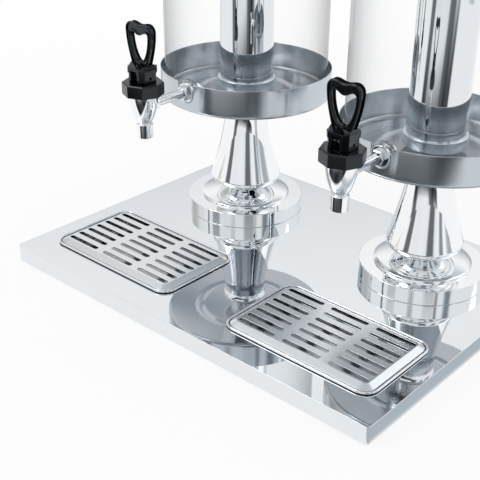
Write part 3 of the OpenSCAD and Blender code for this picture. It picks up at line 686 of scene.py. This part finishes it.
def makeTank(side, k, t):
    place, body = towerPlace(k), side + "_tank_body"
    low, top, foot, wall, edge = t["floorTop"], t["top"], t["footZ"], t["wallRadius"], t["edge"]
    # the clear wall is one thin sheet: floor, hollow foot, wall and the turned-in rim
    footIn, rimIn = wall - t["footWidth"], wall - t["wallThick"]
    sheet = rounded([(0, low), (footIn - t["footSlope"], low), (footIn, foot), (wall, foot), (wall, top),
                     (rimIn, top), (rimIn, top - t["rimDown"])],
                    [0, t["footSlope"], edge/2, edge, edge, edge, 0])
    addPiece(side + "TankSkin", *turned(sheet, place, 192, closed=False), "clear_plastic", body,
             "clear_plastic", [side + "_tank"], sharp=50)
    # a thick clear boss stands round the shank
    boss = hoop(t["bossBore"], t["bossRadius"], -wall - t["bossOut"], t["bossIn"] - wall, t["bossEdges"])
    addPiece(side + "BossSkin", *turned(boss, towerPlace(k, t["shankZ"]), 128, "y"), "thick_clear",
             body, "clear_plastic")
    r, up, thick = t["tubeRadius"], top - t["tubeDown"], t["tubeWall"]
    inside, base = r - thick, low + thick
    tube = rounded([(r, low), (r, up), (inside, up), (inside, base)], [0, t["tubeEdge"], t["tubeEdge"], 0])
    tube = np.concatenate([[(0, low)], tube, [(0, base)]])
    addPiece(side + "TubeSkin", *turned(tube, place, 160, closed=False), "mirror_steel", body,
             "mirror_steel", [side + "_ice_tube"])
    seat = hoop(r, r + t["seatWidth"], low, low + t["seatHeight"], t["seatEdges"])
    addPiece(side + "SeatSkin", *turned(seat, place, 160), "seat", body, "mirror_steel",
             [side + "_tube_seat"])


# the knob's foot is given as points outwards from its waist and up from the dome
lid = {"radius": 99.2, "wall": 1.2, "domeRadius": 87.2, "domeRise": 20, "lip": 6,
       "rimEdges": (0, 1.1, 0.4, 0.4, 0.1, 0), "knobRadius": 15, "knobNeck": 8, "waistShare": 0.45,
       "knobFoot": [(2, -0.05), (2, 0.6), (0.5, 2), (0, 4)], "ballFrom": -1.06}


def makeLid(side, k, t):
    place, body, low = towerPlace(k), side + "_lid_body", tank["top"]
    wall, outer, high, lip = t["wall"], t["radius"], low + t["wall"], low - t["lip"]
    inner, dome = outer - wall, t["domeRadius"]
    # the dome falls with the square of the radius
    u = np.linspace(0, 1, 33)
    crown = pairs(dome*u, high + t["domeRise"]*(1 - u*u))
    rim = rounded([(dome, high), (outer, high), (outer, lip), (inner, lip), (inner, low), (dome, low)],
                  t["rimEdges"])
    cover = np.concatenate([crown[:-1], rim, (crown - [0, wall])[::-1][1:]])
    addPiece(side + "LidSkin", *turned(cover, place, 192, closed=False), "mirror_steel", body,
             "mirror_steel", [side + "_lid"])
    # the knob: a waisted neck under a ball
    top, r = high + t["domeRise"], t["knobRadius"]
    centre, angle = top + t["knobNeck"] + r/2, np.linspace(t["ballFrom"], np.pi/2, 30)
    neck = np.array(t["knobFoot"]) + [r*t["waistShare"], top]
    knob = np.concatenate([[(0, neck[0, 1])], neck, pairs(r*np.cos(angle), centre + r*np.sin(angle))])
    addPiece(side + "KnobSkin", *turned(knob, place, 96, closed=False), "black_plastic", body,
             "black_plastic", [side + "_lid_knob"])


for side, k in sides.items():
    makePan(side, k, pan)
    makeTank(side, k, tank)
    makeLid(side, k, lid)
print("pans, tanks and lids made")

# taps

# sizes in mm, heights from the shank's axis
tap = {"reach": 165, "footRadius": 7, "topRadius": 16, "down": 19, "up": 14, "curve": 0.8,
       "chamber": 10, "seatDown": 7, "neckStep": 1.5, "neckHeight": 10, "outlet": 4, "nozzle": 10,
       "spoutRadius": 9, "spoutWall": 2.8, "spoutLength": 16, "spoutEdges": (0.5, 0.6, 0.9, 0.2),
       "shankRadius": 5.3, "socketRadius": 7.5, "socketStart": 9, "socketEnd": 18,
       "socketEdges": (0, 0, 0.8, 0.4),
       "bonnetRadius": 22.5, "bonnetHeight": 14, "bonnetCap": 3, "bonnetFoot": 1.6,
       "bonnetChamfer": (1.3, 1.2), "bonnetEdges": (0.2, 0.9, 0.9, 0.5, 0, 0, 0, 0), "stemBore": 2.58,
       "washerFace": 103.4, "washerThick": 3.5, "washerRadius": 11.5, "washerEdges": (0.1, 1.2, 0.5, 0.1),
       "nutThick": 6, "nutRadius": 8.59, "nutChamfer": (1.1, 0.9), "nutEdges": (0.1, 0.3, 0.3, 0, 0)}


# where a shank's axis meets the tap's upright axis
def tapPlace(k):
    return towerPlace(k, tank["shankZ"]) - [0, tap["reach"]*mm, 0]


# plan of a regular polygon, from its radius over the corners and number of sides; what lies within 0.6 of
# that radius stays round
def polygonPlan(corner, count):
    flat = corner*math.cos(math.pi/count)

    def plan(r, t):
        away = np.mod(t, 2*np.pi/count) - np.pi/count
        edge = (r - corner + flat)/np.cos(away)
        return np.where(r < 0.6*corner, r, np.minimum(edge, r))
    return plan


def makeTap(side, k, t):
    place, body = tapPlace(k), side + "_tank_body"
    down, up, outlet, chamber, r = (t[n] for n in ("down", "up", "outlet", "chamber", "shankRadius"))
    # goblet: its radius grows with the power 0.8 of the sine of the height
    u = np.linspace(0, 1, 49)
    grown = t["footRadius"] + (t["topRadius"] - t["footRadius"])*np.sin(np.pi/2*u)**t["curve"]
    goblet = pairs(grown, -down + (down + up)*u)
    nozzle, tip = t["spoutRadius"] - t["spoutWall"], -down - t["nozzle"]
    neck, inside, seat = t["topRadius"] - t["neckStep"], up + t["neckHeight"], -t["seatDown"]
    hollow = [(neck, up), (neck, inside), (chamber, inside), (chamber, seat), (outlet, seat)]
    profile = np.concatenate([[(outlet, tip), (nozzle, tip), (nozzle, -down)], goblet, hollow])
    socket = hoop(r, t["socketRadius"], t["socketStart"], t["socketEnd"], t["socketEdges"])
    points, faces = joined(turned(profile, place, 128), turned(socket, place, 96, "y"))
    addPiece(side + "GobletSkin", points, faces, "chrome", body, "chrome", [side + "_tap_body"])
    sleeve = hoop(nozzle, t["spoutRadius"], -down - t["spoutLength"], -down, t["spoutEdges"])
    addPiece(side + "SpoutSkin", *turned(sleeve, place, 96), "chrome", body, "chrome", [side + "_tap_spout"])
    # eight-sided bonnet with a chamfered top
    wide, high, (inset, drop) = t["bonnetRadius"], up + t["bonnetHeight"], t["bonnetChamfer"]
    ceiling = high - t["bonnetCap"]
    cap = rounded([(t["stemBore"], high), (wide - inset, high), (wide, high - drop), (wide, up),
                   (wide - t["bonnetFoot"], up), (neck, up), (neck, ceiling), (t["stemBore"], ceiling)],
                  t["bonnetEdges"], 4)
    addPiece(side + "BonnetSkin", *turned(cap, place, 192, plan=polygonPlan(wide, 8)),
             "black_plastic", body, "black_plastic", [side + "_tap_bonnet"], sharp=25)
    # round washer and six-sided nut on the shank, measured forward from the tower's axis
    axis, face = towerPlace(k, tank["shankZ"]), -t["washerFace"]
    washer = hoop(r, t["washerRadius"], face, face + t["washerThick"], t["washerEdges"])
    addPiece(side + "WasherSkin", *turned(washer, axis, 128, "y"), "fitting", body, "chrome",
             [side + "_tap_washer"])
    wide, front, (inset, drop) = t["nutRadius"], face - t["nutThick"], t["nutChamfer"]
    nut = rounded([(r, front), (wide - inset, front), (wide, front + drop), (wide, face), (r, face)],
                  t["nutEdges"])
    addPiece(side + "NutSkin", *turned(nut, axis, 192, "y", plan=polygonPlan(wide, 6)), "fitting",
             body, "chrome", [side + "_outer_nut"], sharp=25)


# the coil spring over the stem, from the seat cup to the bonnet
spring = {"radius": 5.4, "wire": 0.45, "low": 3.55, "high": 24.45, "turns": 6, "steps": 24, "round": 10,
          "lift": 5.14}


# a circle of the wire's radius carried up a screw line
def makeSpring(side, k, s):
    place, count = tapPlace(k), s["round"]
    along = np.linspace(0, 1, s["steps"]*s["turns"] + 1)[:, None]
    around = np.arange(count)*2*np.pi/count
    turn, r = 2*np.pi*s["turns"]*along, s["radius"] + s["wire"]*np.cos(around)
    z = s["low"] + (s["high"] - s["low"])*along + s["wire"]*np.sin(around)
    coil = np.stack([r*np.cos(turn), r*np.sin(turn), z], -1)
    last = (len(along) - 1)*count
    faces = gridFaces(len(along), count).tolist() + [list(range(count)), list(range(last, last + count))]
    piece = addPiece(side + "SpringSkin", coil*mm + place, faces, "satin_steel",
                     side + "_valve_body", "satin_steel", [side + "_valve_spring"])
    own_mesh(piece)


for side, k in sides.items():
    makeTap(side, k, tap)
    makeSpring(side, k, spring)
print("taps made")

# drip pans and grilles

# sizes in mm, heights from the plate's top
tray = {"y": -95, "width": 186, "depth": 112, "corner": 16, "cornerSteps": 12, "rimHeight": 3.2,
        "rimWidth": 2.6, "rimFillet": 0.3, "wallInset": 7, "sheet": 1, "innerBend": 1.6, "outerBend": 0.6,
        "wellDepth": 13, "bend": 3, "floorRun": 5}


def trayPlace(k):
    return np.array([k*towerX, tray["y"]*mm, plateTop])


# a rounded rectangle: the middle of its corner and the direction from there, for each of its points
def frameCorners(width, depth, corner, steps):
    t = np.radians((np.arange(4)[:, None]*90 + np.linspace(0, 90, steps + 1)[None]).ravel())
    quarter = np.radians(np.repeat(np.arange(4)*90 + 45, steps + 1))
    middles = pairs(np.sign(np.cos(quarter))*(width/2 - corner), np.sign(np.sin(quarter))*(depth/2 - corner))
    return middles, pairs(np.cos(t), np.sin(t))


# the section, as inset and height, carried round the rounded rectangle; point = middle + radius*direction
def makeTray(side, k, t):
    rim, sheet, bend = t["rimWidth"], t["sheet"], t["bend"]
    half, up = rim/2, t["rimHeight"]/2
    a, under = np.linspace(0, np.pi, 13), np.linspace(-np.pi/2, 0, 6)[:-1]
    roll = pairs(half - half*np.cos(a), up + up*np.sin(a))
    curl = pairs(half - half*np.cos(under), up*(1 + np.sin(under)))
    low, outer, inner = -t["wellDepth"], t["wallInset"], t["wallInset"] + sheet
    run = inner + t["floorRun"]
    inside = rounded([(rim, up), (rim, sheet), (inner, sheet), (inner, low + sheet), (run, low + sheet)],
                     [0, t["rimFillet"], t["innerBend"], bend, 0])
    outside = rounded([(run, low), (outer, low), (outer, 0), (half, 0)], [0, bend + sheet, t["outerBend"], 0])
    section = np.concatenate([curl, roll, inside[1:], outside[:-1]])
    middles, directions = frameCorners(t["width"], t["depth"], t["corner"], t["cornerSteps"])
    flat = middles[None] + (t["corner"] - section[:, 0])[:, None, None]*directions[None]
    height = np.broadcast_to(section[:, 1][:, None], flat.shape[:2])
    points = np.concatenate([flat, height[..., None]], -1)*mm + trayPlace(k)
    count = len(directions)
    faces = gridFaces(len(section), count, True).tolist()
    cut = len(curl) + len(roll) + len(inside) - 2  # the floor's ring: it gets a face above and one below
    faces = [f for f in faces if f[0]//count != cut]
    faces += [list(range(cut*count, (cut + 1)*count)), list(range((cut + 1)*count, (cut + 2)*count))]
    addPiece(side + "TraySkin", points, faces, "shadedTray", side + "_drip_pan_body", "satin_steel",
             [side + "_drip_pan"])


# sizes in mm, heights from the plate's top
grille = {"top": 5.6, "sheet": 0.7, "crownWidth": 164.4, "crownDepth": 90.4, "crownCorner": 4.9,
          "bevel": 7, "bevelFoot": 2.0, "hem": 1, "hemWidth": 1.4,
          "creaseEdges": (0, 1.6, 0.5, 0.35, 0.3, 1, 0),
          "slotLength": 46.9, "slotWidth": 5.6, "stepX": 57.25, "stepY": 13.2, "edge": 0.35}


# each slot has a cell; every point of the cell's edge is joined to the nearest point of the slot's edge,
# and a bevelled frame runs on from the outer cells
def makeGrille(side, k, g):
    halfW, halfD = g["crownWidth"]/2, g["crownDepth"]/2
    corner, stepX, stepY = g["crownCorner"], g["stepX"], g["stepY"]
    cx, cy = (m.ravel() for m in np.meshgrid(np.arange(-1, 2)*stepX, np.arange(-3, 4)*stepY))
    x0, x1 = np.where(cx < -1, -halfW, cx - stepX/2), np.where(cx > 1, halfW, cx + stepX/2)
    y0, y1 = np.where(cy < -2.5*stepY, -halfD, cy - stepY/2), np.where(cy > 2.5*stepY, halfD, cy + stepY/2)
    u = (1 - np.cos(np.linspace(0, np.pi, 23)[:-1]))/2
    v = np.linspace(0, 1, 11)[:-1]
    sx, sy = np.concatenate([u, 1 + 0*v, 1 - u, 0*v]), np.concatenate([0*u, v, 1 + 0*u, 1 - v])
    q = pairs(x0[:, None] + (x1 - x0)[:, None]*sx, y0[:, None] + (y1 - y0)[:, None]*sy)
    rim = (abs(abs(q[..., 0]) - halfW) < 1e-6) | (abs(abs(q[..., 1]) - halfD) < 1e-6)
    core = np.array([halfW - corner, halfD - corner])
    away = q - np.clip(q, -core, core)
    size = np.linalg.norm(away, axis=-1, keepdims=True)
    turnIn = rim[..., None] & (abs(away).min(-1, keepdims=True) > 1e-9)
    q = np.where(turnIn, np.clip(q, -core, core) + away/np.maximum(size, 1e-9)*corner, q)
    reach, half = (g["slotLength"] - g["slotWidth"])/2, g["slotWidth"]/2
    spine = pairs(cx[:, None] + np.clip(q[..., 0] - cx[:, None], -reach, reach), cy[:, None])
    out = (q - spine)/np.linalg.norm(q - spine, axis=-1, keepdims=True)
    e, top, low = g["edge"], g["top"], g["top"] - g["sheet"]
    rings = [(q, low), (spine + out*half, low)]
    rings += [(spine + out*(half + e*(1 - math.cos(a))), top - e + e*math.sin(a))
              for a in np.linspace(0, np.pi/2, 5)]
    rings += [(q, top)]
    cells = np.stack([np.concatenate([p, np.full(p.shape[:2] + (1,), z)], -1) for p, z in rings], 1)
    face = gridFaces(len(rings), len(sx))
    blocks = [(cells[i].reshape(-1, 3), face) for i in range(len(cx))]
    # the frame: a creased section carried along the outer cells' edge
    path = np.unique(np.round(q[rim], 6), axis=0)
    path = path[np.argsort(np.arctan2(path[:, 1], path[:, 0]))]
    lead = path - np.clip(path, -core, core)
    lead = lead/np.linalg.norm(lead, axis=1, keepdims=True)
    b, foot, hem = g["bevel"], g["bevelFoot"], g["bevelFoot"] - g["hem"]
    crease = rounded([(-1, top), (0, top), (b, foot), (b, hem), (b - g["hemWidth"], hem), (0, low),
                      (-1, low)], g["creaseEdges"])
    section = np.concatenate([[(0, top)], crease[crease[:, 0] > 0], [(0, low)]])
    strip = path[None] + section[:, 0][:, None, None]*lead[None]
    height = np.broadcast_to(section[:, 1][:, None, None], strip.shape[:2] + (1,))
    strip = np.concatenate([strip, height], -1)
    blocks.append((strip.reshape(-1, 3), gridFaces(len(section), len(path))))
    points, faces = joined(*blocks)
    addPiece(side + "GrilleSkin", points*mm + trayPlace(k), faces, "satin_steel",
             side + "_grille_body", "satin_steel", [side + "_drip_grille"], sharp=24)


for side, k in sides.items():
    makeTray(side, k, tray)
    makeGrille(side, k, grille)
print("drip pans and grilles made")

# levers

# sizes in mm, heights from the shank's axis
lever = {"blockWidth": 24.5, "blockDepth": 25, "cut": 4.6, "cutEdge": 0.5, "base": 28.4, "top": 45,
         "band": 6.5, "swell": 0.8, "window": 9.2, "windowBack": 5.4, "windowTop": 41.4,
         "windowEdges": (0.7, 0.3, 0.3, 0.7), "crest": 3, "shrinkShare": 0.94, "ridgeStretch": 1.4,
         "loopWidth": 38.4, "loopHeight": 43, "loopDepth": 9.2, "foot": 12.2, "side": 5.5, "topBar": 9.4,
         "corner": 8, "holeCorner": 3, "dip": 1.9, "edge": 1.8, "sunk": 1.5}


# plan of the block: a rectangle with cut corners, and the front window where it is asked for
def blockPlan(v, grow, window=False):
    w, d, c, s = v["blockWidth"]/2 + grow, v["blockDepth"]/2 + grow, v["cut"], v["window"]/2
    plan = [(w - c, -d), (w, c - d), (w, d - c), (w - c, d),
            (c - w, d), (-w, d - c), (-w, c - d), (c - w, -d)]
    radii = [v["cutEdge"]]*8
    if window:
        plan += [(-s, -d), (-s, v["windowBack"]), (s, v["windowBack"]), (s, -d)]
        radii += v["windowEdges"]
    return rounded(plan, radii, 4)


# right half of an upright outline from its foot to the middle of its top: the width grows with a power of
# the sine of the height, then a rounded corner, then a top edge lowered in the middle by half a cosine wave
def halfOutline(foot, half, low, high, corner, power, dip):
    u, a = np.linspace(0, 1, 26), np.linspace(0, np.pi/2, 9)[1:]
    side = pairs(foot + (half - foot)*np.sin(np.pi/2*u)**power, low + (high - corner - low)*u)
    turn = pairs(half - corner*(1 - np.cos(a)), high - corner*(1 - np.sin(a)))
    x = np.linspace(half - corner, 0, 9)[1:]
    top = pairs(x, high - dip*(1 + np.cos(np.pi*x/(half - corner)))/2)
    return np.concatenate([side, turn, top])


# outlines at given heights joined into a block, with one face on its foot and one on its top
def stacked(rows):
    count, last = len(rows[0][0]), len(rows)*len(rows[0][0])
    points = np.concatenate([np.column_stack([p, np.full(count, z)]) for p, z in rows])
    faces = gridFaces(len(rows), count).tolist()
    return points, faces + [list(range(count))[::-1], list(range(last - count, last))]


def makeLever(side, k, v):
    base, top, swell, band = v["base"], v["top"], v["swell"], v["top"] - v["band"]
    # how far each outline grows, and its height: the rounded foot, then the small step of the cap band
    grown = [(-0.7, base), (-0.2, base + 0.2), (0, base + 0.7), (0, band - 0.1), (swell - 0.2, band),
             (swell, band + 0.2), (swell, v["windowTop"])]
    lower = stacked([(blockPlan(v, g, True), z) for g, z in grown])
    # above the window: the rest of the cap band, its rounded shoulder, and the slopes up to the loop
    plan, e, deep = blockPlan(v, swell), v["edge"], v["loopDepth"]/2
    ridge = np.clip(plan*v["ridgeStretch"], [-v["foot"], -deep], [v["foot"], deep])
    rows = [(plan, v["windowTop"]), (plan, top - 0.6), (blockPlan(v, swell - 0.15), top - 0.15),
            (blockPlan(v, swell - 0.6), top)]
    rows += [(plan*v["shrinkShare"]*(1 - t) + ridge*t, top + v["crest"]*t) for t in (0.1, 0.5, 0.9, 1.0)]
    # the loop: as many points on its outer outline as on its inner one, and a rounded section between them
    half, low, high = v["loopWidth"]/2, top + v["crest"], top + v["crest"] + v["loopHeight"]
    outer = halfOutline(v["foot"], half, low, high, v["corner"], 1, v["dip"])
    inner = halfOutline(0.0, half - v["side"], low + 1, high - v["topBar"], v["holeCorner"], 0.5, 2*v["dip"])
    sunk = pairs(np.linspace(0, 1, 5)[:-1]*v["foot"], low - v["sunk"])
    pinch = pairs(np.linspace(0, 0.004, len(sunk)), inner[0, 1])
    outer, inner = np.concatenate([sunk, outer]), np.concatenate([pinch, inner])
    whole = [np.concatenate([h, (h*[-1, 1])[::-1][1:-1]]) for h in (outer, inner)]
    wide = np.linalg.norm(whole[0] - whole[1], axis=1)[None]
    arc = np.linspace(0, np.pi/2, 5)
    inset = np.concatenate([e*(1 - np.cos(arc)), e*(1 - np.cos(arc[::-1]))])
    depth = np.concatenate([deep - e + e*np.sin(arc), -(deep - e + e*np.sin(arc[::-1]))])
    fromOuter = inset[:, None]/wide
    share = np.concatenate([fromOuter, 1 - fromOuter[::-1]])[..., None]
    depth = np.concatenate([depth, depth[::-1]])
    flat = whole[0][None]*(1 - share) + whole[1][None]*share
    loop = np.stack([flat[..., 0], np.broadcast_to(depth[:, None], flat.shape[:2]), flat[..., 1]], -1)
    points, faces = joined(lower, stacked(rows), (loop, gridFaces(len(depth), loop.shape[1], True)))
    addPiece(side + "LeverSkin", points*mm + tapPlace(k), faces, "black_plastic",
             side + "_lever_body", "black_plastic", [side + "_lever"], sharp=34)


for side, k in sides.items():
    makeLever(side, k, lever)
print("levers made")
